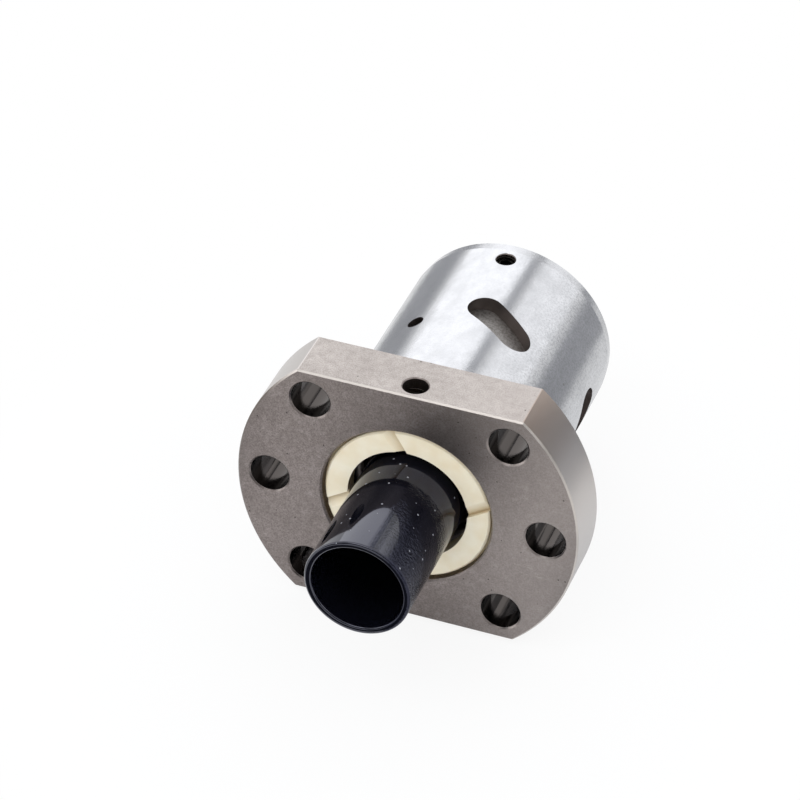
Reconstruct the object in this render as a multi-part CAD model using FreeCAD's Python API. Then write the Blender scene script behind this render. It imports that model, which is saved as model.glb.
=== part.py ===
import FreeCAD, Part
import math
import os

from FreeCAD import Vector

os.makedirs("parts", exist_ok=True)

# Flanged ball screw nut with internal ball return, on its shipping sleeve. Lengths are in millimetres.
# The screw axis is Y. The origin is on that axis in the flange's mounting face.
# The flange lies on the -Y side, the barrel on the +Y side, and the two flats of the flange face +Z and -Z.

# Screw that the nut fits: nominal diameter, lead of its right-hand thread, and the balls between the two
screw_d = 20.0
lead = 5.0
ball_d = 3.175
ball_circle_d = 21.0

# Flange with two flats and six bolt holes
flange_d = 58.0
flange_t = 10.0
flats_apart = 44.0
flange_chamfer = 0.3
bolt_circle_d = 47.0
bolt_hole_d = 6.6
bolt_hole_chamfer = 0.3
side_bolt_angles = [0.0, 180.0]
corner_bolt_angles = [45.0, 135.0, 225.0, 315.0]

# Ground barrel that sits in the housing, with a shallow lead-in at its end
barrel_d = 36.0
barrel_l = 42.0
lead_in_l = 2.0
lead_in_depth = 0.25

# Bore and ball track of the nut
land_gap = 0.25
bore_chamfer = 0.5
track_clearance = 0.03

# Ball circuits: each is a turn of the track, closed by a deflector that lifts the balls over one land
circuits = 4
last_circuit_from_end = 14.85
first_circuit_angle = 254.6
circuit_pitch_angle = 90.0
return_half_angle = 26.0
land_crossing_gap = 0.15
ball_gap = 0.12

# Deflectors: oblong inserts in slanted pockets that open through the barrel wall
pocket_l = 13.3
pocket_w = 6.1
pocket_tilt = 30.0
deflector_depth = 2.5
deflector_gap = 0.02
channel_clearance = 0.06
channel_reach = 1.5

# Wipers: nylon rings in a recess at each end
recess_d = 29.0
recess_depth = 6.5
recess_chamfer = 0.3
wiper_set_back = 0.6
wiper_fit_gap = 0.05
wiper_lip_gap = 0.2
wiper_plate_t = 3.0
wiper_edge_chamfer = 0.3
wiper_rim_gap = 0.45
wiper_rim_depth = 1.2
wiper_skirt_w = 1.4
skirt_gaps = 4
skirt_gap_w = 5.0
notches = 4
notch_angle = 101.0
notch_slant = 21.0
notch_w = 2.0
notch_depth = 0.9

# Oil inlet in the upper flat, tapped M5, with a narrower passage from its floor to the recess
oil_hole_d = 4.2
oil_hole_from_front = 3.1
oil_hole_floor = 1.5
oil_passage_d = 2.4
hole_countersink = 0.2

# Grease hole from outside the barrel to the idle stretch of track between two circuits
grease_hole_d = 2.9
grease_hole_angle = 119.5
grease_hole_after_circuit = 1

# Set screw M4 that holds the rear wiper
wiper_screw_d = 3.3
wiper_screw_gap = 0.02
wiper_screw_l = 3.0
wiper_screw_from_end = 4.6
wiper_screw_angle = 90.0
wiper_screw_bite = 0.4
socket_af = 2.0
socket_depth = 1.6
screw_end_chamfer = 0.3

# Shipping sleeve that keeps the balls in until the screw takes its place
sleeve_gap = 0.06
sleeve_wall = 1.2
sleeve_front = 22.3
sleeve_rear = 1.7
sleeve_chamfer = 0.25

# Sizes that follow
axis_y = Vector(0, 1, 0)
ball_r = ball_d / 2
track_r = ball_circle_d / 2
groove_r = ball_r + track_clearance
land_r = screw_d / 2 + land_gap
barrel_r = barrel_d / 2
flange_r = flange_d / 2
recess_r = recess_d / 2
front_y = -flange_t
wiper_r = recess_r - wiper_fit_gap
wiper_rim_r = recess_r - wiper_rim_gap
wiper_lip_r = screw_d / 2 + wiper_lip_gap
deflector_r = barrel_r - deflector_depth
track_lift = screw_d / 2 + ball_r + land_crossing_gap - track_r
sleeve_r = track_r - ball_r - sleeve_gap
circuit_step = lead * (1 + circuit_pitch_angle / 360)
first_circuit_y = barrel_l - last_circuit_from_end - (circuits - 1) * circuit_step
tool_margin = 1.0
return_steps = 120
turn_steps = 720
channel_steps = 18


def at_angle(radius, angle, y):
    """Point at a radius and a height angle (0 at +X, 90 at +Z) about the screw axis."""
    turn = math.radians(angle)
    return Vector(radius * math.cos(turn), y, radius * math.sin(turn))


def turn_to(shape, angle):
    """Turns a shape that was made along +X to a height angle about the screw axis."""
    shape.rotate(Vector(0, 0, 0), axis_y, -angle)
    return shape


def turned(points):
    """Solid of revolution about the screw axis, from points given as radius and y."""
    corners = [Vector(radius, y, 0) for radius, y in points]
    face = Part.Face(Part.makePolygon(corners + corners[:1]))
    return face.revolve(Vector(0, 0, 0), axis_y, 360)


def radial_drill(hole_r, inner_r, outer_r, y, angle):
    """Cylinder along a radius of the nut."""
    drill = Part.makeCylinder(hole_r, outer_r - inner_r, Vector(inner_r, y, 0), Vector(1, 0, 0))
    return turn_to(drill, angle)


def radial_countersink(hole_r, surface_r, y, angle):
    """Cone that breaks the edge of a radial hole."""
    size = hole_countersink + tool_margin
    start = Vector(surface_r - hole_countersink, y, 0)
    cone = Part.makeCone(hole_r, hole_r + size, size, start, Vector(1, 0, 0))
    return turn_to(cone, angle)


def circuit_y(index):
    """Place of a deflector's middle along the axis: one turn and a share after the one before."""
    return first_circuit_y + index * circuit_step


def circuit_angle(index):
    """Height angle of a deflector's middle. The right-hand track goes towards +Y as this angle falls."""
    return first_circuit_angle - index * circuit_pitch_angle


def return_point(share):
    """Ball centre in a deflector about +X: share runs from -1 to 1, past which it follows the track."""
    angle = return_half_angle * share
    drift = -lead * angle / 360
    if abs(share) >= 1:
        return at_angle(track_r, angle, math.copysign(lead / 2, share) + drift)
    swing = lead / 2 * (1.5 * share - 0.5 * share ** 3)
    radius = track_r + track_lift * (1 - share ** 4) ** 2
    return at_angle(radius, angle, swing + drift)


def circuit_path():
    """Closed line of ball centres about +X: the return through the deflector, then the turn of track."""
    back = [return_point(1 - 2 * step / return_steps) for step in range(return_steps)]
    start_y = -lead / 2 + lead * return_half_angle / 360
    sweep = 360 - 2 * return_half_angle
    turn = []
    for step in range(turn_steps):
        passed = sweep * step / turn_steps
        turn.append(at_angle(track_r, -return_half_angle - passed, start_y + lead * passed / 360))
    return back + turn


def evenly_along(path, count):
    """Points at equal distances along a closed line."""
    ends = path[1:] + path[:1]
    spans = [point.distanceToPoint(end) for point, end in zip(path, ends)]
    pitch = sum(spans) / count
    places = []
    passed = 0.0
    for point, end, span in zip(path, ends, spans):
        while len(places) < count and len(places) * pitch < passed + span:
            share = (len(places) * pitch - passed) / span
            places.append(point + (end - point) * share)
        passed += span
    return places


def circle_across(radius, centre, direction):
    """Circle across a path on the +X side, started on its side towards the screw axis."""
    circle = Part.makeCircle(radius, centre, direction)
    across = Vector(direction)
    across.normalize()
    inward = Vector(-1, 0, 0) + across * across.x
    start = circle.Vertexes[0].Point - centre
    turn = math.degrees(start.getAngle(inward))
    if start.cross(inward).dot(across) < 0:
        turn = -turn
    circle.rotate(centre, across, turn)
    return Part.Wire(circle)


def track_turns():
    """Groove tools: round bars, each one turn of the track, that together pass both ends of the bore."""
    seam_angle = circuit_pitch_angle / 2
    seam_y = first_circuit_y - lead / 2 - lead * seam_angle / 360
    turns_before = math.ceil((seam_y - front_y - recess_depth + groove_r) / lead)
    start_y = seam_y - turns_before * lead
    turns = math.ceil((barrel_l - recess_depth + groove_r - start_y) / lead)
    slope = Vector(0, 2 * math.pi * track_r, lead)
    profile = circle_across(groove_r, Vector(track_r, 0, 0), slope)
    bar = Part.Wire(Part.makeHelix(lead, lead, track_r).Edges).makePipeShell([profile], True, True)
    bar.rotate(Vector(0, 0, 0), Vector(1, 0, 0), -90)
    bar = turn_to(bar, first_circuit_angle + seam_angle)
    return [bar.translated(Vector(0, start_y + turn * lead, 0)) for turn in range(turns)]


def return_channel():
    """Channel tool: a round bar along the balls' way through a deflector and a little past both ends."""
    points = []
    for step in range(channel_steps + 1):
        points.append(return_point(channel_reach * (2 * step / channel_steps - 1)))
    curve = Part.BSplineCurve()
    curve.interpolate(points)
    direction = curve.tangent(curve.FirstParameter)[0]
    profile = circle_across(ball_r + channel_clearance, points[0], direction)
    return Part.Wire(curve.toShape()).makePipeShell([profile], True, False)


def oblong_prism(gap, inner_r, outer_r):
    """Slanted oblong prism along +X, smaller all round by a gap."""
    half_w = pocket_w / 2 - gap
    half_l = pocket_l / 2 - pocket_w / 2
    corners = [Vector(inner_r, -half_w, half_l), Vector(inner_r, -half_w, -half_l)]
    corners += [Vector(inner_r, half_w, -half_l), Vector(inner_r, half_w, half_l)]
    low_end = Vector(inner_r, 0, -half_l - half_w)
    high_end = Vector(inner_r, 0, half_l + half_w)
    edges = [Part.LineSegment(corners[0], corners[1]).toShape()]
    edges.append(Part.Arc(corners[1], low_end, corners[2]).toShape())
    edges.append(Part.LineSegment(corners[2], corners[3]).toShape())
    edges.append(Part.Arc(corners[3], high_end, corners[0]).toShape())
    prism = Part.Face(Part.Wire(edges)).extrude(Vector(outer_r - inner_r, 0, 0))
    prism.rotate(Vector(0, 0, 0), Vector(1, 0, 0), -pocket_tilt)
    return prism


def to_circuit(shape, index):
    """Copy of a shape about +X at the place of one circuit's deflector."""
    placed = turn_to(shape.copy(), circuit_angle(index))
    placed.translate(Vector(0, circuit_y(index), 0))
    return placed


def flange_blank():
    """Round flange with broken edges and two flats."""
    inner_y = front_y + flange_chamfer
    disc = turned([
        (0, front_y),
        (flange_r - flange_chamfer, front_y),
        (flange_r, inner_y),
        (flange_r, -flange_chamfer),
        (flange_r - flange_chamfer, 0),
        (0, 0),
    ])
    flat_z = flats_apart / 2
    edge_z = flat_z - flange_chamfer
    outline = [(front_y, edge_z), (inner_y, flat_z), (-flange_chamfer, flat_z), (0, edge_z)]
    outline += [(y, -z) for y, z in reversed(outline)]
    corners = [Vector(-flange_d, y, z) for y, z in outline]
    slab = Part.Face(Part.makePolygon(corners + corners[:1])).extrude(Vector(2 * flange_d, 0, 0))
    return disc.common(slab)


def barrel_blank():
    """Barrel with its lead-in, started inside the flange."""
    return turned([
        (0, -flange_t / 2),
        (barrel_r, -flange_t / 2),
        (barrel_r, barrel_l - lead_in_l),
        (barrel_r - lead_in_depth, barrel_l),
        (0, barrel_l),
    ])


def bore_tool():
    """Bore with its broken edges and the wiper recess at each end."""
    mouth = recess_r + recess_chamfer + tool_margin
    front_floor = front_y + recess_depth
    rear_floor = barrel_l - recess_depth
    return turned([
        (0, front_y - tool_margin),
        (mouth, front_y - tool_margin),
        (recess_r, front_y + recess_chamfer),
        (recess_r, front_floor),
        (land_r + bore_chamfer, front_floor),
        (land_r, front_floor + bore_chamfer),
        (land_r, rear_floor - bore_chamfer),
        (land_r + bore_chamfer, rear_floor),
        (recess_r, rear_floor),
        (recess_r, barrel_l - recess_chamfer),
        (mouth, barrel_l + tool_margin),
        (0, barrel_l + tool_margin),
    ])


def bolt_hole(angle):
    """Through hole in the flange with both edges broken."""
    hole_r = bolt_hole_d / 2
    edge_r = hole_r + bolt_hole_chamfer + tool_margin
    tool = turned([
        (0, front_y - tool_margin),
        (edge_r, front_y - tool_margin),
        (hole_r, front_y + bolt_hole_chamfer),
        (hole_r, -bolt_hole_chamfer),
        (edge_r, tool_margin),
        (0, tool_margin),
    ])
    tool.translate(at_angle(bolt_circle_d / 2, angle, 0))
    return tool


def oil_hole():
    """Oil inlet from the upper flat, with a passage to the space behind the front wiper."""
    y = front_y + oil_hole_from_front
    hole_r = oil_hole_d / 2
    flat_z = flats_apart / 2
    floor_z = recess_r + oil_hole_floor
    drill = radial_drill(hole_r, floor_z, flat_z + tool_margin, y, 90)
    drill = drill.fuse(radial_countersink(hole_r, flat_z, y, 90))
    return drill.fuse(radial_drill(oil_passage_d / 2, recess_r - tool_margin, floor_z + tool_margin, y, 90))


def grease_hole():
    """Plain hole to the idle track between two circuits."""
    index = grease_hole_after_circuit
    passed = circuit_angle(index) - grease_hole_angle
    y = circuit_y(index) + lead / 2 + lead * passed / 360
    return radial_drill(grease_hole_d / 2, track_r, barrel_r + tool_margin, y, grease_hole_angle)


def wiper_screw_y():
    return barrel_l - wiper_screw_from_end


def wiper_screw_hole():
    """Tapped hole for the rear wiper's set screw."""
    hole_r = wiper_screw_d / 2
    y = wiper_screw_y()
    drill = radial_drill(hole_r, recess_r - tool_margin, barrel_r + tool_margin, y, wiper_screw_angle)
    return drill.fuse(radial_countersink(hole_r, barrel_r, y, wiper_screw_angle))


def nut_body():
    """Flange and barrel, turned and ground from one bar."""
    body = flange_blank().fuse(barrel_blank()).removeSplitter()
    body = body.cut(bore_tool())
    for turn in track_turns():
        body = body.cut(turn)
    for angle in side_bolt_angles + corner_bolt_angles:
        body = body.cut(bolt_hole(angle))
    pocket = oblong_prism(0, land_r - tool_margin, barrel_r + tool_margin)
    for index in range(circuits):
        body = body.cut(to_circuit(pocket, index))
    for tool in (oil_hole(), grease_hole(), wiper_screw_hole()):
        body = body.cut(tool)
    return body


def deflector():
    """Insert that fills the inner part of its pocket, with the return channel on its inner side."""
    insert = oblong_prism(deflector_gap, land_r - tool_margin, barrel_r)
    low = Vector(0, -pocket_l, 0)
    ring = Part.makeCylinder(deflector_r, 2 * pocket_l, low, axis_y)
    hole = Part.makeCylinder(land_r, 2 * pocket_l, low, axis_y)
    return insert.common(ring.cut(hole)).cut(return_channel())


def ball_circuit():
    """The balls of one circuit, spaced evenly round their closed path."""
    path = circuit_path()
    length = sum(point.distanceToPoint(end) for point, end in zip(path, path[1:] + path[:1]))
    count = int(length / (ball_d + ball_gap))
    return Part.makeCompound([Part.makeSphere(ball_r, centre) for centre in evenly_along(path, count)])


def wiper_notch(index):
    """Ramp cut across the wiper's face, upright on one side and running out on the other."""
    face_y = front_y + wiper_set_back
    reach = 1.5 * (wiper_r - wiper_lip_r)
    outline = [
        (face_y - tool_margin, 0),
        (face_y + notch_depth, 0),
        (face_y, notch_w),
        (face_y - tool_margin, notch_w),
    ]
    corners = [Vector(0, y, across) for y, across in outline]
    ramp = Part.Face(Part.makePolygon(corners + corners[:1])).extrude(Vector(2 * reach, 0, 0))
    ramp.translate(Vector(-reach, 0, 0))
    ramp.rotate(Vector(0, 0, 0), axis_y, -notch_slant)
    ramp.translate(Vector(wiper_r, 0, 0))
    return turn_to(ramp, notch_angle + index * 360 / notches)


def front_wiper():
    """Wiper ring: a plate with a narrower rim, and a skirt on the recess floor with gaps for the oil."""
    face_y = front_y + wiper_set_back
    rim_y = face_y + wiper_rim_depth
    plate_y = face_y + wiper_plate_t
    floor_y = front_y + recess_depth
    skirt_r = wiper_r - wiper_skirt_w
    ring = turned([
        (wiper_lip_r, face_y),
        (wiper_rim_r - wiper_edge_chamfer, face_y),
        (wiper_rim_r, face_y + wiper_edge_chamfer),
        (wiper_rim_r, rim_y),
        (wiper_r, rim_y),
        (wiper_r, floor_y),
        (skirt_r, floor_y),
        (skirt_r, plate_y),
        (wiper_lip_r, plate_y),
    ])
    for index in range(notches):
        ring = ring.cut(wiper_notch(index))
    for index in range(skirt_gaps):
        corner = Vector(wiper_lip_r, plate_y, -skirt_gap_w / 2)
        gap = Part.makeBox(recess_r - wiper_lip_r, floor_y - plate_y, skirt_gap_w, corner)
        ring = ring.cut(turn_to(gap, index * 360 / skirt_gaps))
    return ring


def rear_wiper():
    """The same ring turned about to face the other end, with its skirt under the set screw that dents it."""
    ring = turn_to(front_wiper(), 180 / skirt_gaps)
    ring.rotate(Vector(0, (front_y + barrel_l) / 2, 0), Vector(0, 0, 1), 180)
    dent_r = wiper_screw_d / 2
    dent = radial_drill(dent_r, wiper_r - wiper_screw_bite, barrel_r, wiper_screw_y(), wiper_screw_angle)
    return ring.cut(dent)


def wiper_screw():
    """Headless set screw with a hexagon socket."""
    screw_r = wiper_screw_d / 2 - wiper_screw_gap
    inner = wiper_r - wiper_screw_bite
    outer = inner + wiper_screw_l
    y = wiper_screw_y()
    end_r = screw_r - screw_end_chamfer
    along_x = Vector(1, 0, 0)
    body_l = wiper_screw_l - 2 * screw_end_chamfer
    screw = Part.makeCone(end_r, screw_r, screw_end_chamfer, Vector(inner, y, 0), along_x)
    screw = screw.fuse(Part.makeCylinder(screw_r, body_l, Vector(inner + screw_end_chamfer, y, 0), along_x))
    top_start = Vector(outer - screw_end_chamfer, y, 0)
    screw = screw.fuse(Part.makeCone(screw_r, end_r, screw_end_chamfer, top_start, along_x))
    corner_r = socket_af / math.sqrt(3)
    corners = []
    for corner in range(6):
        turn = math.radians(60 * corner)
        place = Vector(outer - socket_depth, y + corner_r * math.cos(turn), corner_r * math.sin(turn))
        corners.append(place)
    hexagon = Part.Face(Part.makePolygon(corners + corners[:1]))
    screw = screw.cut(hexagon.extrude(Vector(socket_depth + tool_margin, 0, 0)))
    return turn_to(screw, wiper_screw_angle)


def shipping_sleeve():
    """Plain tube in the place of the screw, with all four edges broken."""
    start = front_y - sleeve_front
    end = barrel_l + sleeve_rear
    inner_r = sleeve_r - sleeve_wall
    cut = sleeve_chamfer
    return turned([
        (inner_r + cut, start),
        (sleeve_r - cut, start),
        (sleeve_r, start + cut),
        (sleeve_r, end - cut),
        (sleeve_r - cut, end),
        (inner_r + cut, end),
        (inner_r, end - cut),
        (inner_r, start + cut),
    ])


def save(name, shape):
    """Writes one sub-part and prints what it holds."""
    shape.exportStep(os.path.join("parts", name + ".step"))
    print(name, "solids", len(shape.Solids), "volume mm3", round(shape.Volume, 2), "valid", shape.isValid())


def build():
    save("nut_body", nut_body())
    save("front_wiper", front_wiper())
    save("rear_wiper", rear_wiper())
    save("rear_wiper_screw", wiper_screw())
    insert = deflector()
    balls = ball_circuit()
    for index in range(circuits):
        save("deflector_" + str(index + 1), to_circuit(insert, index))
        save("ball_circuit_" + str(index + 1), to_circuit(balls, index))
    save("shipping_sleeve", shipping_sleeve())


build()
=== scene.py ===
# %% [markdown]
# # A flanged ball screw nut on its shipping sleeve
# This lesson dresses a finished engineering model for a product picture.
# The real nut is a steel part 52 mm long. Its flange is dull grey-brown, its barrel is ground bright, and a cream
# nylon ring closes each end. A glossy black plastic sleeve stands in for the screw and keeps the balls in.
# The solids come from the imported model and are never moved. The lesson gives them their finishes, and builds again
# the pieces that a script makes better: the sleeve, the balls and the two small threads.

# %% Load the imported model
import math

import bpy
from mathutils import Matrix, Vector


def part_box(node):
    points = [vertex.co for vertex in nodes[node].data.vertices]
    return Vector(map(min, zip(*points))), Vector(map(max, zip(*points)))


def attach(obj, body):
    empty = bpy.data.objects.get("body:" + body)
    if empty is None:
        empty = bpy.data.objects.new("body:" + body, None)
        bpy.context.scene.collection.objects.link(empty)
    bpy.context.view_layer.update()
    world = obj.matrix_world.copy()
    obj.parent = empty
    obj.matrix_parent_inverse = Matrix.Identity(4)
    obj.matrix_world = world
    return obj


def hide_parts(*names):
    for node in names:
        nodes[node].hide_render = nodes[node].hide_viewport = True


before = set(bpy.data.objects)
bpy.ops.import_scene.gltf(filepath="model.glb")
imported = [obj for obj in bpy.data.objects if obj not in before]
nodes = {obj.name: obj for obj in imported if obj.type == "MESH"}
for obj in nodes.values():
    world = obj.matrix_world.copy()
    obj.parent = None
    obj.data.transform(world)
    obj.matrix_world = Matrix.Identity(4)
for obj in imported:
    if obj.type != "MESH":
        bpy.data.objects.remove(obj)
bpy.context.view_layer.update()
scene = bpy.context.scene
MM = 0.001
for name in sorted(nodes):
    print(name, "triangles", len(nodes[name].data.polygons))

# %% [markdown]
# Colours are written the way a painter's chart gives them, as sRGB hex values. Blender mixes light in linear values,
# so one function turns the first into the second.
# A second function adds a node to a material, a world or a geometry tree. It sets the node's options, and gives each
# input either a constant or whatever feeds it. Inputs come as a list in the order of the sockets, or as a dictionary
# keyed by a socket's name or number. The function in the middle does that half alone, for a node that is already
# there, such as a material's shader.

# %% Helpers for colours and nodes
def linear(hex_colour):
    """Linear red, green, blue and alpha of an sRGB hex colour."""
    parts = [int(hex_colour[i:i + 2], 16) / 255 for i in (0, 2, 4)]
    return [c / 12.92 if c <= 0.04045 else ((c + 0.055) / 1.055) ** 2.4 for c in parts] + [1.0]


def fill(node, inputs):
    """Gives inputs of a node a constant or a link. A node in the place of a value means its first live output."""
    for socket, value in inputs.items() if isinstance(inputs, dict) else enumerate(inputs):
        if isinstance(value, bpy.types.Node):
            value = next(output for output in value.outputs if output.enabled)
        if isinstance(value, bpy.types.NodeSocket):
            node.id_data.links.new(value, node.inputs[socket])
        else:
            node.inputs[socket].default_value = value


def add(tree, kind, inputs=(), **options):
    """Adds a node, sets its options and fills its inputs."""
    node = tree.nodes.new(kind)
    for option, value in options.items():
        setattr(node, option, value)
    fill(node, inputs)
    return node


print("steel grey in linear light:", [round(c, 3) for c in linear("968C86")])

# %% [markdown]
# Three kinds of node do most of the work below. A Math node does a sum on its inputs. A Map Range node says where a
# value lies between two limits: its inputs are the value, the two limits, and what the limits turn into, which is 0
# and 1 where nothing is said. A Mix node goes from one value to another by a share: the share is socket 0, two
# numbers are sockets 2 and 3, and two colours are sockets 6 and 7.
# The functions here build whole patterns from them. A picture of steel or plastic could be wrapped round the part
# instead, but it would stretch over the curves. A pattern with its sizes in millimetres keeps its scale on every face.

# %% Helpers for patterns
MATH, RANGE, MIX = "ShaderNodeMath", "ShaderNodeMapRange", "ShaderNodeMix"


def cloudy(tree, place, size_mm, detail=2.0, roughness=0.5, stretch=(1.0, 1.0, 1.0)):
    """Cloudy pattern whose features are about size_mm wide. stretch widens them along X, Y and Z."""
    scale = tuple(1 / (size_mm * MM * factor) for factor in stretch)
    spread = add(tree, "ShaderNodeMapping", {"Vector": place, "Scale": scale})
    return add(tree, "ShaderNodeTexNoise",
               {"Vector": spread, "Scale": 1.0, "Detail": detail, "Roughness": roughness})


def specks(tree, place, cell_mm, speck_mm, share):
    """1 on round specks, 0 elsewhere. One cell holds one speck, and only a share of the cells have theirs."""
    cells = add(tree, "ShaderNodeTexVoronoi", {"Vector": place, "Scale": 1 / (cell_mm * MM)})
    inside = add(tree, MATH, [cells.outputs["Distance"], speck_mm / cell_mm / 2], operation="LESS_THAN")
    pick = add(tree, "ShaderNodeSeparateXYZ", [cells.outputs["Color"]])
    chosen = add(tree, MATH, [pick.outputs["X"], share], operation="LESS_THAN")
    return add(tree, MATH, [inside, chosen], operation="MULTIPLY")


def reach(tree, first, second):
    """Length of the arrow with two given sides, such as how far a place lies from an axis."""
    arrow = add(tree, "ShaderNodeCombineXYZ", [first, second])
    return add(tree, "ShaderNodeVectorMath", [arrow], operation="LENGTH")


def layered(tree, base, *layers):
    """Puts colours over a base colour, as paint would. Each layer is its share and its colour, a hex or a node."""
    base = linear(base) if isinstance(base, str) else base
    for share, colour in layers:
        colour = linear(colour) if isinstance(colour, str) else colour
        base = add(tree, MIX, {0: share, 6: base, 7: colour}, data_type="RGBA")
    return base


def new_material(name):
    """Node material: the material, its tree, its shader, and the place on the object that its patterns read."""
    look = bpy.data.materials.new(name)
    look.use_nodes = True
    tree = look.node_tree
    place = add(tree, "ShaderNodeTexCoord").outputs["Object"]
    return look, tree, tree.nodes["Principled BSDF"], place


print("pattern helpers ready")

# %% [markdown]
# The camera stands where the photographer stood: more than half a metre away, above the nut and to its right, with a
# long lens. It could be aimed by eye, but its place was solved from points of known size, such as the six bolt holes,
# so the picture overlays the photograph. The three axes below are the camera's right, up and back directions.

# %% Camera
camera_data = bpy.data.cameras.new("camera")
camera = bpy.data.objects.new("camera", camera_data)
scene.collection.objects.link(camera)
scene.camera = camera
SENSOR_MM = 36.0
FOCAL_PX = 3813.0
IMAGE_PX = 800.0
camera_data.sensor_width = SENSOR_MM
camera_data.lens = FOCAL_PX * SENSOR_MM / IMAGE_PX
right = Vector((0.93847, 0.3446, 0.02292))
up = Vector((-0.22204, 0.55121, 0.80428))
back = Vector((0.26452, -0.75988, 0.5938))
camera_place = Matrix((right, up, back)).transposed().to_4x4()
camera_place.translation = Vector((0.15682, -0.46471, 0.37621))
camera.matrix_world = camera_place
camera_data.clip_start = 0.01
camera_data.clip_end = 10
print("lens", round(camera_data.lens, 1), "mm, distance", round(camera_place.translation.length, 2), "m")

# %% [markdown]
# The nut's weight lies behind its flange, so it tips back until the end of the barrel touches the table. The frame
# keeps the nut level, so here the table tilts instead, by the same few degrees.
# The table is a large disc, whose rim is too far away to be seen.

# %% Floor
FLANGE_LOW_Z = -22.0 * MM
BARREL_LOW_Z = -18.0 * MM
LEAD_IN_START_Y = 40.0 * MM
TABLE_R = 0.7
tilt = math.atan2(BARREL_LOW_Z - FLANGE_LOW_Z, LEAD_IN_START_Y)
bpy.ops.mesh.primitive_circle_add(vertices=96, radius=TABLE_R, fill_type="NGON")
floor = bpy.context.object
floor.name = "floor"
floor.data.transform(Matrix.Translation((0, 0, FLANGE_LOW_Z)) @ Matrix.Rotation(tilt, 4, "X"))
scene.view_settings.view_transform = "Standard"
print("table tilt", round(math.degrees(tilt), 2), "degrees")

# %% [markdown]
# The table board is matt and white. It takes the nut's shadow in the middle, and the flange mirrors that shaded
# middle. Towards its rim it turns into plain white for the camera and for reflections. A very bright lamp could
# whiten the table too, but it would wash out the nut, so a Light Path node does it: it knows what kind of ray asks.
# The camera sees mostly plain white in the middle too, which leaves only a faint shadow, as in a catalogue picture.

# %% Table board
SHADED_TO = 0.02
WHITE_FROM = 0.09
LEAST_WHITE = 0.88


def seen_directly(tree):
    """1 for what the camera, a mirror or glass sees, and 0 for the light that a surface gives to others."""
    rays = add(tree, "ShaderNodeLightPath").outputs
    seen = add(tree, MATH, [rays["Is Camera Ray"], rays["Is Glossy Ray"]], operation="MAXIMUM")
    return add(tree, MATH, [seen, rays["Is Transmission Ray"]], operation="MAXIMUM")


floor_look = bpy.data.materials.new("matt white table board")
floor_look.use_nodes = True
tree = floor_look.node_tree
tree.nodes.clear()
spot = add(tree, "ShaderNodeTexCoord").outputs["Object"]
away = add(tree, "ShaderNodeVectorMath", [spot], operation="LENGTH")
far_off = add(tree, RANGE, [away, SHADED_TO, WHITE_FROM], interpolation_type="SMOOTHSTEP")
to_camera = add(tree, "ShaderNodeLightPath").outputs["Is Camera Ray"]
least = add(tree, MATH, [to_camera, LEAST_WHITE], operation="MULTIPLY")
whitened = add(tree, MATH, [least, far_off], operation="MAXIMUM")
share = add(tree, MATH, [seen_directly(tree), whitened], operation="MULTIPLY")
board = add(tree, "ShaderNodeBsdfDiffuse", {"Color": linear("F0F0F0")})
white = add(tree, "ShaderNodeEmission", {"Color": linear("FFFFFF"), "Strength": 1.0})
mixed = add(tree, "ShaderNodeMixShader", [share, board, white])
add(tree, "ShaderNodeOutputMaterial", {"Surface": mixed})
floor.data.materials.append(floor_look)
print("table board nodes", len(tree.nodes))

# %% [markdown]
# Steel has no colour of its own to show: it shows the room. The world here is a white tent, plain white for the
# camera and for reflections, and a touch cooler in the light that it gives. Most of the light on the nut is from it.

# %% World
world = bpy.data.worlds.new("white tent")
scene.world = world
world.use_nodes = True
tree = world.node_tree
tree.nodes.clear()
given = add(tree, "ShaderNodeBackground", {"Color": linear("F3F5F8"), "Strength": 1.08})
shown = add(tree, "ShaderNodeBackground", {"Color": linear("FFFFFF"), "Strength": 1.0})
mixed = add(tree, "ShaderNodeMixShader", [seen_directly(tree), given, shown])
add(tree, "ShaderNodeOutputWorld", {"Surface": mixed})
print("world nodes", len(tree.nodes))

# %% [markdown]
# Two wide, weak lamps beside the camera light what faces the viewer, one from each side, so that the sleeve throws
# no hard shadow on the wiper. A narrow lamp high above the camera draws a line of light along the flange's edge.
# A lamp's power in watts says little about how bright it looks in steel, so the power is worked out from that.

# %% Front lamps
def soft_lamp(name, stand, width, height, radiance, tint="FFFFFF"):
    """Rectangular lamp. stand is its place and turn, and its power follows from how bright it should look."""
    data = bpy.data.lights.new(name, "AREA")
    data.shape = "RECTANGLE"
    data.size = width
    data.size_y = height
    data.color = linear(tint)[:3]
    data.energy = radiance * math.pi * width * height
    lamp = bpy.data.objects.new(name, data)
    scene.collection.objects.link(lamp)
    lamp.matrix_world = stand
    lamp.visible_camera = False
    print(name, round(data.energy, 2), "W")


def facing_in(direction, distance):
    """Place and turn of a rectangle that stands in a direction from the nut and faces it."""
    outwards = Vector(direction).normalized()
    return Matrix.Translation(outwards * distance) @ outwards.to_track_quat("Z", "Y").to_matrix().to_4x4()


# Direction from the nut, distance, width and height in metres, and how bright the lamp looks beside plain white
FRONT_LAMPS = {
    "left_fill": ((-0.8, -0.5, 0.2), 0.9, 0.8, 0.5, 1.0),
    "right_fill": ((0.8, -0.35, 0.5), 0.9, 0.5, 0.4, 0.8),
    "edge_light": ((-0.25, -0.45, 0.86), 0.8, 0.5, 0.2, 2.4),
}
for name, (direction, distance, width, height, radiance) in FRONT_LAMPS.items():
    soft_lamp(name, facing_in(direction, distance), width, height, radiance)

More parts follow.
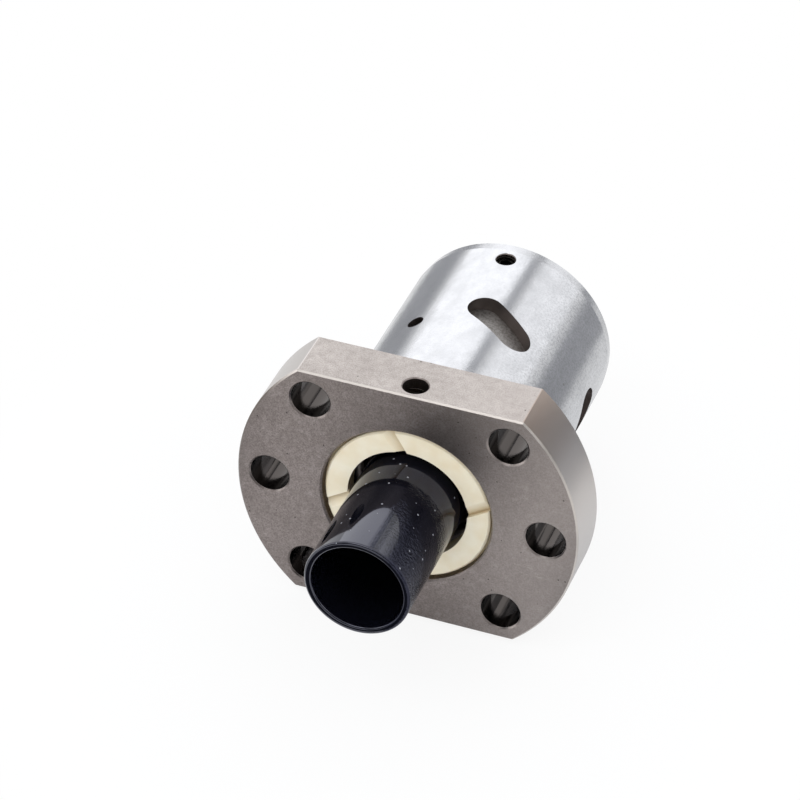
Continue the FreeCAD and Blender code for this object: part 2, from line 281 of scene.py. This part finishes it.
# %% [markdown]
# The barrel mirrors a ring of directions round the screw axis. A lamp on that ring shows as a bright band along the
# barrel, and a gap between two lamps shows as a streak. Lamps could be moved about until the bands look right, but
# the ring says beforehand where each will show. So the two soft panels are placed by their angle on it, which is 0 at
# the right and 90 straight up. The gap between them is partly closed by a thin grey strip, which gives the streak its
# two tones.
# The same panels light the top flat, and their image is the pale patch on the black sleeve.

# %% Panels on the ring
RING_SIDE = 0.65
RING_BACK = 0.76
PANEL_DISTANCE = 0.6
PANEL_HEIGHT = 0.4
PANEL_TINT = "FBFCFF"


def ring_direction(angle):
    """Direction that the barrel mirrors to the camera, at an angle on the ring."""
    turn = math.radians(angle)
    return Vector((RING_SIDE * math.cos(turn), RING_BACK, RING_SIDE * math.sin(turn))).normalized()


def ring_stand(low, high):
    """Place and turn of a rectangle that lies across the ring between two angles, with its face to the nut."""
    middle = (low + high) / 2
    turn = math.radians(middle)
    along = Vector((-math.sin(turn), 0, math.cos(turn)))
    outwards = ring_direction(middle)
    facing = Matrix((along, outwards.cross(along), outwards)).transposed().to_4x4()
    return Matrix.Translation(outwards * PANEL_DISTANCE) @ facing


def ring_width(low, high):
    """Width of a rectangle that spans the ring between two angles."""
    return 2 * math.tan(math.radians((high - low) / 2)) * RING_SIDE * PANEL_DISTANCE


# The two angles that a panel spans, and how bright it looks
PANELS = {"left_panel": (88, 152, 0.8), "right_panel": (28, 71, 0.5)}
for name, (low, high, radiance) in PANELS.items():
    soft_lamp(name, ring_stand(low, high), ring_width(low, high), PANEL_HEIGHT, radiance, PANEL_TINT)

# %% [markdown]
# Bright round metal also needs something dark to mirror. Photographers hold black and grey card beside it, and so
# does this lesson. Each card is out of the picture, throws no shadow and dims no light: only reflections meet it.

# %% How a card is made
def card_material(name, colour):
    """Matt card of one colour."""
    look, tree, shader, place = new_material(name)
    tone = add(tree, RANGE, [cloudy(tree, place, 60.0), 0.3, 0.7, 0.0, 0.1])
    fill(shader, {"Base Color": layered(tree, colour, (tone, "000000")), "Roughness": 1.0})
    return look


black_velour = card_material("black velour card", "0C0C0D")
grey_board = card_material("grey card", "B4B4B6")


def card(name, look, width, height, stand):
    """Card. stand places a rectangle that lies in the XY plane."""
    mesh = bpy.data.meshes.new(name)
    corners = [(x * width / 2, y * height / 2, 0) for x, y in ((-1, -1), (1, -1), (1, 1), (-1, 1))]
    mesh.from_pydata(corners, [], [(0, 1, 2, 3)])
    mesh.transform(stand)
    mesh.materials.append(look)
    sheet = bpy.data.objects.new(name, mesh)
    scene.collection.objects.link(sheet)
    sheet.visible_camera = False
    sheet.visible_shadow = False
    sheet.visible_diffuse = False


STRIP_FROM = 78
STRIP_TO = 88
STRIP_HEIGHT = 0.42
card("parting_strip", grey_board, ring_width(STRIP_FROM, STRIP_TO), STRIP_HEIGHT, ring_stand(STRIP_FROM, STRIP_TO))
print("the strip hangs between the panels")

# %% [markdown]
# Grey cards stand on the table beside the barrel, one on the left and two on the right, where a real studio ends and
# the room is dim: their images are the grey bands that run along the barrel. A smaller one hangs nearer to the
# flange, so that only the flange's rim mirrors it.
# Black cards above the camera and on both sides of it stand for the dark room behind the photographer. The flange
# mirrors them into the sleeve, which is why the sleeve looks almost black near the flange.
# A small black card lies on the table in front: the flat end of the sleeve mirrors it, so only the two rounded edges
# of that end shine, as two thin rings. Two grey ones beside it keep the sleeve's sides dark.

# %% Cards
# Upright cards along the screw axis, in mm: x, near y, far y, low z, top z
UPRIGHT_CARDS = {
    "left_card": (-52, 52, 170, -22, 26),
    "right_card": (80, 40, 220, -22, 28),
    "band_card": (52, 40, 105, -22, 17),
    "rim_card": (45, 4, 31, 14, 48),
}
for name, (x, near, far, low, top) in UPRIGHT_CARDS.items():
    middle = Matrix.Translation((x * MM, (near + far) / 2 * MM, (low + top) / 2 * MM))
    card(name, grey_board, (top - low) * MM, (far - near) * MM, middle @ Matrix.Rotation(math.pi / 2, 4, "Y"))

# Cards for the dark room: width and height in metres, then the direction from the nut
ROOM_CARDS = {
    "room_behind": (1.7, 0.5, (0, -0.83, 0.55)),
    "room_right": (0.5, 0.34, (0.66, -0.74, 0.1)),
    "room_left": (0.5, 0.34, (-0.66, -0.74, 0.1)),
}
ROOM_DISTANCE = 0.8
for name, (width, height, direction) in ROOM_CARDS.items():
    card(name, black_velour, width, height, facing_in(direction, ROOM_DISTANCE))

# Cards that lie on the table in front of the nut, in mm: width, height, then the place
TABLE_CARDS = {
    "table_card": (black_velour, 34, 30, (-12, -67, -26)),
    "table_card_right": (grey_board, 44, 34, (44, -35, -23.5)),
    "table_card_left": (grey_board, 44, 34, (-62, -35, -23.5)),
}
for name, (look, width, height, place) in TABLE_CARDS.items():
    card(name, look, width * MM, height * MM, Matrix.Translation(Vector(place) * MM))
print(len(UPRIGHT_CARDS) + len(ROOM_CARDS) + len(TABLE_CARDS), "cards round the nut")

# %% [markdown]
# The nut is one piece of hardened steel with two finishes. Everything in front of the mounting face keeps the dull
# skin that blasting and heat treatment leave: warm grey-brown, finely speckled, with small pits and scratches. Behind
# that face the barrel is ground, which leaves it bright, with fine lines round it and a few handling marks.
# Two materials on two sets of faces could do it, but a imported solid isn't cut up. So one material holds both, and the
# place on the object chooses. This cell finds the barrel's ground skin: it lies behind the mounting face, and no
# further in than the barrel's own surface, which narrows a little at the end.

# %% Nut steel: flange or barrel
nut_steel, tree, shader, spot = new_material("hardened steel, blasted flange and ground barrel")
axes = add(tree, "ShaderNodeSeparateXYZ", [spot]).outputs
side = add(tree, MATH, [axes["X"]], operation="ABSOLUTE")
height = add(tree, MATH, [axes["Z"]], operation="ABSOLUTE")
radius = reach(tree, side, height)

BEHIND_FACE = 0.05 * MM
BARREL_END_Y = 42.0 * MM
SKIN_R = 17.955 * MM
SKIN_R_AT_END = 17.7 * MM
on_barrel = add(tree, MATH, [axes["Y"], BEHIND_FACE], operation="GREATER_THAN")
in_flange = add(tree, MATH, [1.0, on_barrel], operation="SUBTRACT")
skin_r = add(tree, RANGE, [axes["Y"], LEAD_IN_START_Y, BARREL_END_Y, SKIN_R, SKIN_R_AT_END])
outer_skin = add(tree, MATH, [radius, skin_r], operation="GREATER_THAN")
ground = add(tree, MATH, [on_barrel, outer_skin], operation="MULTIPLY")
print("barrel found with", len(tree.nodes), "nodes")

# %% [markdown]
# The flange has places of its own: the broken edges, painted bright as a highlight, the two flats, painted lighter
# for the light that the upper one catches, its rim, and the walls of the bolt holes, which are oily and painted dark
# for the shade inside them.
# An edge is found from the middle of the flange's thickness: its chamfer lies just inside the two faces, and only
# where the flange is widest. A hole is found by mirroring: with both signs dropped, six holes become two.

# %% Nut steel: places on the flange
HALF_THICKNESS = 5.0 * MM
CHAMFER_START = 4.72 * MM
CHAMFER_END = 4.985 * MM
EDGE_R = 28.55 * MM
EDGE_HEIGHT = 21.55 * MM
from_middle = add(tree, MATH, [axes["Y"], HALF_THICKNESS], operation="ADD")
from_middle = add(tree, MATH, [from_middle], operation="ABSOLUTE")
past_start = add(tree, MATH, [from_middle, CHAMFER_START], operation="GREATER_THAN")
off_faces = add(tree, MATH, [from_middle, CHAMFER_END], operation="LESS_THAN")
at_rim = add(tree, MATH, [radius, EDGE_R], operation="GREATER_THAN")
at_flat = add(tree, MATH, [height, EDGE_HEIGHT], operation="GREATER_THAN")
at_edge = add(tree, MATH, [at_rim, at_flat], operation="MAXIMUM")
for condition in (in_flange, past_start, off_faces):
    at_edge = add(tree, MATH, [at_edge, condition], operation="MULTIPLY")

BOLT_CIRCLE_R = 23.5 * MM
CORNER = BOLT_CIRCLE_R * math.cos(math.radians(45))
HOLE_WALL_R = 3.34 * MM
RIM_R = 28.9 * MM
FLAT_HEIGHT = 21.95 * MM
to_corner = [add(tree, MATH, [length, CORNER], operation="SUBTRACT") for length in (side, height)]
from_corner_hole = reach(tree, *to_corner)
to_side = add(tree, MATH, [side, BOLT_CIRCLE_R], operation="SUBTRACT")
from_side_hole = reach(tree, to_side, height)
from_hole = add(tree, MATH, [from_corner_hole, from_side_hole], operation="MINIMUM")

in_hole = add(tree, MATH, [from_hole, HOLE_WALL_R], operation="LESS_THAN")
on_rim = add(tree, MATH, [radius, RIM_R], operation="GREATER_THAN")
on_flat = add(tree, MATH, [height, FLAT_HEIGHT], operation="GREATER_THAN")
in_hole, on_rim, on_flat = [add(tree, MATH, [in_flange, found], operation="MULTIPLY")
                            for found in (in_hole, on_rim, on_flat)]
print("all places found with", len(tree.nodes), "nodes")

# %% [markdown]
# The dull skin: grains of about 0.2 mm, blots of about 1 mm and soft clouds of about 6 mm, tiny dark pits, and a few
# long scratches. It is painted a little lighter towards the right, a painted reflection, and its rim is painted darker
# and browner near the flats there, a painted dim reflection.
# A real blasted grain is finer than the picture can show, so it is drawn as coarse as it needs to be seen.
# First come the patterns. A scratch is a thin line where a stretched cloudy pattern crosses its middle value.

# %% Nut steel: patterns of the dull skin
grain = cloudy(tree, spot, 0.22, 3.0, 0.6)
blots = cloudy(tree, spot, 1.3, 3.0, 0.6)
clouds = cloudy(tree, spot, 6.0, 4.0, 0.55)
pits = specks(tree, spot, 1.6, 0.28, 0.45)

SCRATCH_STRETCH = (9.0, 1.0, 0.35)
crossing = add(tree, MATH, [cloudy(tree, spot, 1.1, 1.0, 0.5, SCRATCH_STRETCH), 0.5], operation="SUBTRACT")
crossing = add(tree, MATH, [crossing], operation="ABSOLUTE")
thin_lines = add(tree, RANGE, [crossing, 0.0, 0.006, 1.0, 0.0])
scratched_areas = add(tree, RANGE, [cloudy(tree, spot, 9.0), 0.56, 0.66])
scratches = add(tree, MATH, [thin_lines, scratched_areas], operation="MULTIPLY")
print("patterns of the dull skin ready")

# %% [markdown]
# The colours go on in layers, from the grain up to the painted shade in the holes. The share of each layer says where
# it lies and how strongly it covers what is below it, so a layer can be changed or taken out without touching the
# others.

# %% Nut steel: colours of the dull skin
light_grains = add(tree, RANGE, [grain, 0.3, 0.7])
blasted = layered(tree, "7C7370", (light_grains, "A49B98"))
# Painted light: the flats are lighter, for the light that the upper flat catches.
lit_flats_skin = layered(tree, "98918D", (light_grains, "BBB5B1"))
# Painted dim reflection: the rim turns darker and browner near the flats on the right.
near_flats_share = add(tree, RANGE, [height, 14.0 * MM, 21.0 * MM])
right_half = add(tree, MATH, [axes["X"], 0.0], operation="GREATER_THAN")
painted_dim_reflection = add(tree, MATH, [near_flats_share, right_half], operation="MULTIPLY")
rim_skin = layered(tree, "BDB8B5", (painted_dim_reflection, "A0938A"))
# Painted highlight: the chamfers are bright, except at the far left, where they are dark.
edge_highlight_share = add(tree, RANGE, [axes["X"], -24.0 * MM, -18.0 * MM])
painted_edge_highlight = layered(tree, "6E6661", (edge_highlight_share, "C9C3BE"))
dull_skin = layered(
    tree, blasted,
    (on_flat, lit_flats_skin),
    (add(tree, RANGE, [blots, 0.45, 0.68, 0.0, 0.24]), "6E6662"),
    (add(tree, RANGE, [blots, 0.42, 0.3, 0.0, 0.28]), "B9B1AD"),
    (add(tree, RANGE, [clouds, 0.35, 0.7, 0.0, 0.25]), "6E6662"),
    # Painted reflection: lighter towards the right.
    (add(tree, RANGE, [axes["X"], 2.0 * MM, 24.0 * MM, 0.0, 0.4]), "B8B0AC"),
    (add(tree, MATH, [pits, 0.75], operation="MULTIPLY"), "3B3632"),
    (add(tree, MATH, [scratches, 0.5], operation="MULTIPLY"), "C9C2BD"),
    (on_rim, rim_skin),
    (at_edge, painted_edge_highlight),
    # Painted shade: the walls of the bolt holes are dark.
    (in_hole, "484442"))
dull_rough = add(tree, RANGE, [grain, 0.3, 0.7, 0.42, 0.33])
print("dull skin ready")

# %% [markdown]
# The ground skin: lines round the barrel, which the wheel leaves, a fine mottle of 0.4 mm that frays the edge of
# every reflection, faint stains, and a few dark specks. The mottle is strongest on the right side, where it is
# painted shade for the dim, broken reflection there. The bores and pockets are darker, because no grinding wheel
# reached them.
# Real wheel lines are a few hundredths of a millimetre apart. They are drawn 0.12 mm apart, so that they show.

# %% Nut steel: ground skin
wheel_lines = cloudy(tree, spot, 0.12, 2.0, 0.5, (60.0, 1.0, 60.0))
mottle = cloudy(tree, spot, 0.36, 2.0, 0.6)
stains = cloudy(tree, spot, 3.0, 4.0, 0.6, (1.0, 1.6, 1.0))
handling = specks(tree, spot, 5.0, 0.5, 0.4)
# Painted shade: the dark mottle grows towards the right side.
right_side_painted_shade = add(tree, RANGE, [axes["X"], 6.0 * MM, 13.0 * MM, 0.15, 1.0])
mottled = add(tree, RANGE, [mottle, 0.4, 0.68, 0.0, 0.5])
bright = layered(
    tree, "BBBCBF",
    (add(tree, RANGE, [stains, 0.36, 0.62]), "C5C6C9"),
    (add(tree, MATH, [mottled, right_side_painted_shade], operation="MULTIPLY"), "88898C"),
    (add(tree, MATH, [handling, 0.6], operation="MULTIPLY"), "6C6866"))
barrel_skin = layered(tree, "857C79", (add(tree, RANGE, [clouds, 0.4, 0.65]), "736B68"), (outer_skin, bright))
print("ground skin ready")

# %% [markdown]
# The shader gets both skins. Ground steel is smoother than blasted steel, the oily holes are smoother still, and the
# broken edges lie between. The relief of the flange is its grain, with the pits sunk into it. The barrel's is its
# wheel lines and its mottle.

# %% Nut steel: shader
polish = add(tree, RANGE, [stains, 0.35, 0.65, 0.23, 0.17])
bare = add(tree, MATH, [at_edge, on_rim], operation="MAXIMUM")
rough = dull_rough
for place, roughness in ((ground, polish), (in_hole, 0.09), (bare, 0.3)):
    rough = add(tree, MIX, {0: place, 2: rough, 3: roughness})

low_lines = add(tree, MATH, [wheel_lines, 0.4], operation="MULTIPLY")
high_mottle = add(tree, MATH, [mottle, 1.2], operation="MULTIPLY")
wheel_marks = add(tree, MATH, [low_lines, high_mottle], operation="ADD")
raised = add(tree, MIX, {0: ground, 2: grain, 3: wheel_marks})
flange_pits = add(tree, MATH, [pits, in_flange], operation="MULTIPLY")
raised = add(tree, MATH, [raised, flange_pits], operation="SUBTRACT")
fill(shader, {
    "Base Color": layered(tree, dull_skin, (on_barrel, barrel_skin)),
    "Metallic": 1.0,
    "Roughness": rough,
    "Normal": add(tree, "ShaderNodeBump", {"Height": raised, "Distance": 0.012 * MM, "Strength": 0.5}),
})


def dress(node_name, look):
    """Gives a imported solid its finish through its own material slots."""
    solid = nodes[node_name]
    if not solid.data.materials:
        solid.data.materials.append(look)
    for slot in solid.material_slots:
        slot.material = look


dress("nut_body", nut_steel)
print("nut steel nodes", len(tree.nodes))

# %% [markdown]
# The wipers are moulded from natural nylon, a warm cream plastic. Light enters it a little, so its edges look soft,
# and its surface is satin rather than glossy. The four ramps in its face are painted tan, more so the deeper they
# lie: painted shade. Paint on the mesh could mark the ramps, but their depth below the face is enough to find them.
# The two wipers stand alike about the middle of the nut's length, so one distance from that middle serves both.

# %% Wiper nylon
NUT_MIDDLE_Y = 16.0 * MM
FACE_FROM_MIDDLE = 25.4 * MM
RAMP_SHADE_FULL_FROM_MIDDLE = 24.5 * MM
nylon, tree, shader, spot = new_material("natural nylon, moulded satin")
paler = add(tree, RANGE, [cloudy(tree, spot, 3.0, 3.0), 0.3, 0.7])
along = add(tree, "ShaderNodeSeparateXYZ", [spot]).outputs["Y"]
from_centre = add(tree, MATH, [along, NUT_MIDDLE_Y], operation="SUBTRACT")
from_centre = add(tree, MATH, [from_centre], operation="ABSOLUTE")
# Painted shade: the ramps turn tan the deeper they lie below the face.
painted_ramp_shade = add(tree, RANGE, [from_centre, FACE_FROM_MIDDLE, RAMP_SHADE_FULL_FROM_MIDDLE])
faint_ramp_shade = add(tree, MATH, [painted_ramp_shade, 0.7], operation="MULTIPLY")
fill(shader, {
    "Base Color": layered(tree, "F3E6C8", (paler, "FAF1DA"), (faint_ramp_shade, "CBB283")),
    "Normal": add(tree, "ShaderNodeBump",
                  {"Height": cloudy(tree, spot, 0.4), "Distance": 0.01 * MM, "Strength": 0.3}),
    "IOR": 1.53,
    "Roughness": 0.4,
    "Subsurface Weight": 0.1,
    "Subsurface Radius": (1.0, 0.85, 0.6),
    "Subsurface Scale": 0.5 * MM,
})
for node_name in ("front_wiper", "rear_wiper"):
    dress(node_name, nylon)
print("wipers dressed")

# %% [markdown]
# The return inserts are sintered: powder pressed to shape and baked. Their skin is a light grey crowd of grains with
# dark pores between them, and it scatters light more than the steel round it. Cells of 0.22 mm draw the grains, which
# is coarser than the real powder, because finer ones would not show.

# %% Insert metal
GRAIN_MM = 0.22
sinter, tree, shader, spot = new_material("sintered steel, grainy")
pores = add(tree, "ShaderNodeTexVoronoi", {"Vector": spot, "Scale": 1 / (GRAIN_MM * MM)})
pores = add(tree, MATH, [pores, 0.3], operation="MULTIPLY")
powder = add(tree, MATH, [cloudy(tree, spot, 0.45, 3.0), pores], operation="SUBTRACT")
fill(shader, {
    "Base Color": layered(tree, "827E7B", (add(tree, RANGE, [powder, 0.15, 0.5]), "AAA7A5")),
    "Metallic": 1.0,
    "Roughness": 0.55,
    "Normal": add(tree, "ShaderNodeBump", {"Height": powder, "Distance": 0.03 * MM, "Strength": 0.5}),
})
for index in range(1, 5):
    dress("deflector_" + str(index), sinter)
print("inserts dressed")

# %% [markdown]
# The set screw is blackened: a thin oxide skin, nearly black, with an oily shine. Black paint would be the wrong
# choice: the metal below still colours its gleam, so the shader stays metallic.

# %% Set screw steel
black_oxide, tree, shader, spot = new_material("black oxide steel")
fill(shader, {
    "Base Color": layered(tree, "1E1D1C", (cloudy(tree, spot, 0.7, 3.0), "4A4845")),
    "Metallic": 1.0,
    "Roughness": 0.38,
})
dress("rear_wiper_screw", black_oxide)
print("screw dressed")

# %% [markdown]
# Every Geometry Nodes piece goes through the same steps: a tree with named inputs, a modifier that holds their
# values, and a plain mesh taken from the result. These functions do that. The last one sets each value by the
# socket's identifier and then removes the modifier, so the finished piece is an ordinary mesh.

# %% From a tree to a plain mesh
def new_tree(name, inputs):
    """Geometry tree with a geometry input, named inputs and a geometry output, and the outputs of its input node."""
    made = bpy.data.node_groups.new(name, "GeometryNodeTree")
    made.interface.new_socket("Geometry", in_out="INPUT", socket_type="NodeSocketGeometry")
    for label, kind in inputs.items():
        made.interface.new_socket(label, in_out="INPUT", socket_type="NodeSocket" + kind)
    made.interface.new_socket("Geometry", in_out="OUTPUT", socket_type="NodeSocketGeometry")
    return made, made.nodes.new("NodeGroupInput").outputs


def finish_tree(made, last, look):
    """Ends a tree in Realize Instances and Set Material."""
    real = add(made, "GeometryNodeRealizeInstances", [last])
    painted = add(made, "GeometryNodeSetMaterial", {"Geometry": real, "Material": look})
    add(made, "NodeGroupOutput", [painted])


def plain_mesh(name, start_mesh, made, values):
    """Runs a tree on a mesh and returns a new object that holds the result as a plain mesh."""
    carrier = bpy.data.objects.new(name + "_carrier", start_mesh)
    scene.collection.objects.link(carrier)
    modifier = carrier.modifiers.new("build", "NODES")
    modifier.node_group = made
    for item in made.interface.items_tree:
        if item.in_out == "INPUT" and item.name in values:
            modifier[item.identifier] = values[item.name]
    bpy.context.view_layer.update()
    done = bpy.data.meshes.new_from_object(carrier.evaluated_get(bpy.context.evaluated_depsgraph_get()))
    carrier.modifiers.remove(modifier)
    bpy.data.objects.remove(carrier)
    piece = bpy.data.objects.new(name, done)
    scene.collection.objects.link(piece)
    print(name, "faces", len(done.polygons))
    return piece


# %% [markdown]
# The sleeve is a plain tube of black plastic, polished by its mould. The finish is nearly black with a cool tint,
# under a thin film of oil, which adds its own reflection and is thicker towards the sleeve's end. Dust has settled
# on it. On its right side it was handled: the film is wiped off there, and broken by small ripples where it ends, so
# the edge of a reflection looks ragged.

# %% Sleeve plastic
OUTSIDE_R = 8.4 * MM
gloss_black, tree, shader, spot = new_material("black polystyrene, glossy")
axes = add(tree, "ShaderNodeSeparateXYZ", [spot]).outputs
outside = add(tree, MATH, [reach(tree, axes["X"], axes["Z"]), OUTSIDE_R], operation="GREATER_THAN")
dust, fine_dust = [add(tree, MATH, [layer, outside], operation="MULTIPLY")
                   for layer in (specks(tree, spot, 1.3, 0.34, 0.45), specks(tree, spot, 0.8, 0.16, 0.25))]
haze = add(tree, RANGE, [cloudy(tree, spot, 0.5, 3.0, 0.7), 0.6, 0.75])
thin_haze = add(tree, MATH, [haze, 0.4], operation="MULTIPLY")
all_dust = add(tree, MATH, [dust, fine_dust], operation="MAXIMUM")
cover = add(tree, MATH, [all_dust, thin_haze], operation="MAXIMUM")
dust_colour = add(tree, MATH, [dust, 0.7], operation="MULTIPLY")
print("dust ready")

# %% [markdown]
# The relief adds long, soft waves, as a moulded tube has them, the ripples where the sleeve was handled, and the
# grains of dust. The ripples are drawn 0.5 mm wide, which is as fine as the picture can show.

# %% Sleeve relief and film
handled = add(tree, RANGE, [axes["X"], 1.5 * MM, 3.0 * MM, 0.0, 8.0])
near_end = add(tree, RANGE, [axes["Y"], -18.0 * MM, -14.0 * MM, 1.0, 0.0])
for condition in (near_end, outside):
    handled = add(tree, MATH, [handled, condition], operation="MULTIPLY")
ripples = add(tree, MATH, [cloudy(tree, spot, 0.5, 2.0, 0.7), handled], operation="MULTIPLY")
waves = add(tree, MATH, [cloudy(tree, spot, 6.0, 1.0), ripples], operation="ADD")
dust_grains = add(tree, MATH, [fine_dust, 0.08], operation="MULTIPLY")
raised = add(tree, MATH, [waves, dust_grains], operation="ADD")
film = add(tree, RANGE, [axes["Y"], -24.0 * MM, -13.0 * MM, 1.0, 0.0])
not_wiped = add(tree, RANGE, [axes["X"], 3.8 * MM, 5.4 * MM, 1.0, 0.0])
fill(shader, {
    "Base Color": layered(tree, "0B0C13", (dust_colour, "A6A8AE")),
    "Roughness": add(tree, RANGE, [cover, 0.0, 1.0, 0.06, 0.5]),
    "Normal": add(tree, "ShaderNodeBump", {"Height": raised, "Distance": 0.2 * MM, "Strength": 0.12}),
    "IOR": 1.55,
    "Specular Tint": linear("D2D6FF"),
    "Coat Weight": add(tree, MATH, [film, not_wiped], operation="MULTIPLY"),
    "Coat Roughness": 0.05,
    "Coat IOR": 1.48,
})
print("sleeve plastic nodes", len(tree.nodes))

# %% [markdown]
# Such a gloss shows every facet, so the tube is spun again here from its outline, with rounded edges and many steps.
# A cylinder with a Solidify and a Bevel modifier could give it too. Its shape follows a rule, so Geometry Nodes build
# it: one input each for its radius, wall, length and edge. The outline is an upright rectangle with a fillet, and
# Curve to Mesh sweeps it round a circle.

# %% Sleeve
SLEEVE_WALL = 1.2 * MM
SLEEVE_EDGE = 0.4 * MM
tree, given = new_tree("spun tube", {"Radius": "Float", "Wall": "Float", "Length": "Float", "Edge": "Float"})
middle = add(tree, MATH, [given["Wall"], -0.5, given["Radius"]], operation="MULTIPLY_ADD")
path = add(tree, "GeometryNodeCurvePrimitiveCircle", {"Resolution": 256, "Radius": middle})
outline = add(tree, "GeometryNodeCurvePrimitiveQuadrilateral", {"Width": given["Wall"], "Height": given["Length"]})
rounded = add(tree, "GeometryNodeFilletCurve", {"Curve": outline, "Count": 6, "Radius": given["Edge"]}, mode="POLY")
swept = add(tree, "GeometryNodeCurveToMesh", {"Curve": path, "Profile Curve": rounded})
soft = add(tree, "GeometryNodeSetShadeSmooth", [swept])
finish_tree(tree, soft, gloss_black)

low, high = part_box("shipping_sleeve")
sleeve = plain_mesh("sleeve_tube", bpy.data.meshes.new("empty_start"), tree,
                    {"Radius": high.x, "Wall": SLEEVE_WALL, "Length": high.y - low.y, "Edge": SLEEVE_EDGE})
sleeve.data.transform(Matrix.Translation((0, (low.y + high.y) / 2, 0)) @ Matrix.Rotation(-math.pi / 2, 4, "X"))
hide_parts("shipping_sleeve")
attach(sleeve, "sleeve")

# %% [markdown]
# The four circuits of balls are polished bearing steel, a mirror with the faintest haze. Each ball sits at an equal
# step along a closed path. The path is the same as in the solid model: a hump that lifts the balls back over one
# land of the thread, and then the rest of one turn of the track.

# %% Ball steel and path
mirror_steel, tree, shader, spot = new_material("chrome bearing steel, polished")
fill(shader, {
    "Base Color": linear("D9DADC"),
    "Metallic": 1.0,
    "Roughness": add(tree, RANGE, [cloudy(tree, spot, 1.6), 0.0, 1.0, 0.05, 0.16]),
})

BALL_R = 3.175 / 2 * MM
TRACK_R = 10.5 * MM
LEAD = 5.0 * MM
SCREW_R = 10.0 * MM
GAP_OVER_LAND = 0.15 * MM
LIFT = SCREW_R + BALL_R + GAP_OVER_LAND - TRACK_R
RETURN_HALF = 26.0
RETURN_STEPS = 120
TURN_STEPS = 720


def on_track(radius, angle, y):
    """Point at a radius and a height angle about the screw axis."""
    return Vector((radius * math.cos(math.radians(angle)), y, radius * math.sin(math.radians(angle))))


def circuit_points():
    """Closed path of ball centres about +X."""
    points = []
    for step in range(RETURN_STEPS):
        share = 1 - step / (RETURN_STEPS / 2)
        angle = RETURN_HALF * share
        swing = LEAD / 2 * (1.5 * share - 0.5 * share ** 3)
        points.append(on_track(TRACK_R + LIFT * (1 - share ** 4) ** 2, angle, swing - LEAD * angle / 360))
    start = -LEAD / 2 + LEAD * RETURN_HALF / 360
    for step in range(TURN_STEPS):
        passed = (360 - 2 * RETURN_HALF) * step / TURN_STEPS
        points.append(on_track(TRACK_R, -RETURN_HALF - passed, start + LEAD * passed / 360))
    return points


points = circuit_points()
print("points on the path", len(points))

# %% [markdown]
# A loop could place the balls one by one. A tree does it with two inputs, the ball's radius and the count: it turns
# the path into a curve, samples it evenly and puts a sphere on each point. The spheres are ico spheres, because those
# have no poles to catch the light. The four circuits are alike, each a quarter turn back from the last and one lead
# and a quarter further along.

# %% Balls
FIRST_Y = 8.4 * MM
FIRST_ANGLE = 254.6
QUARTER_TURN = 90
CIRCUIT_STEP = 1.25 * LEAD
BALLS = 20
tree, given = new_tree("balls on a path", {"Ball radius": "Float", "Ball count": "Int"})
curve = add(tree, "GeometryNodeMeshToCurve", [given["Geometry"]])
even = add(tree, "GeometryNodeResampleCurve", {"Curve": curve, "Count": given["Ball count"]})
ball = add(tree, "GeometryNodeMeshIcoSphere", {"Radius": given["Ball radius"], "Subdivisions": 4})
soft = add(tree, "GeometryNodeSetShadeSmooth", [ball])
placed = add(tree, "GeometryNodeInstanceOnPoints", {"Points": even, "Instance": soft})
finish_tree(tree, placed, mirror_steel)

ring = [(i, (i + 1) % len(points)) for i in range(len(points))]
for index in range(4):
    spun = Matrix.Rotation(-math.radians(FIRST_ANGLE - QUARTER_TURN * index), 4, "Y")
    shift = Matrix.Translation((0, FIRST_Y + CIRCUIT_STEP * index, 0))
    line = bpy.data.meshes.new("path")
    line.from_pydata([shift @ spun @ point for point in points], ring, [])
    balls = plain_mesh("balls_" + str(index + 1), line, tree, {"Ball radius": BALL_R, "Ball count": BALLS})
    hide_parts("ball_circuit_" + str(index + 1))
    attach(balls, "nut")

# %% [markdown]
# Two holes are tapped: the oil inlet in the upper flat, and the hole of the rear wiper's set screw. In the solid
# they are plain, because a fine thread is heavy there, so the thread's ridge is wound here. A thread follows a helix,
# so a tree makes it: a spiral, and a three-cornered ridge swept along it. A bump pattern would be quicker, but it
# gives no glints where the ridge stands against the light.
# What the eye gets is a row of small glints down the dark hole.

# %% Threads
RIDGE_SHARE = 0.2
# Painted shade: the ridge is nearly black, for the shade down the hole. Its gloss is its oil.
thread_steel, tree, shader, spot = new_material("tapped steel, oily, painted dark for shade in the hole")
fill(shader, {
    "Base Color": layered(tree, "211F1D", (cloudy(tree, spot, 0.4), "45413D")),
    "Metallic": 1.0,
    "Roughness": 0.24,
})

tree, given = new_tree("thread ridge",
                       {"Hole radius": "Float", "Length": "Float", "Turns": "Float", "Ridge": "Float"})
helix = add(tree, "GeometryNodeCurveSpiral",
            {"Resolution": 48, "Rotations": given["Turns"], "Start Radius": given["Hole radius"],
             "End Radius": given["Hole radius"], "Height": given["Length"], "Reverse": True})
ridge = add(tree, "GeometryNodeCurvePrimitiveCircle", {"Resolution": 3, "Radius": given["Ridge"]})
wound = add(tree, "GeometryNodeCurveToMesh", {"Curve": helix, "Profile Curve": ridge, "Fill Caps": True})
finish_tree(tree, wound, thread_steel)


def tapped(name, hole_d, pitch, y, low_z, high_z):
    """Thread ridge down a hole that is square to the screw axis and points up."""
    length = high_z - low_z
    thread = plain_mesh(name, bpy.data.meshes.new("empty_start"), tree, {
        "Hole radius": hole_d / 2, "Length": length, "Turns": length / pitch, "Ridge": RIDGE_SHARE * pitch})
    thread.data.transform(Matrix.Translation((0, y, low_z)))
    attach(thread, "nut")


# In mm: hole, pitch, Y, low Z, high Z
TAPPED_HOLES = {
    "oil_inlet_thread": (4.2, 0.8, -6.9, 16.4, 19.9),
    "screw_hole_thread": (3.3, 0.7, 37.4, 17.1, 17.6),
}
for name, sizes_mm in TAPPED_HOLES.items():
    tapped(name, *(size * MM for size in sizes_mm))
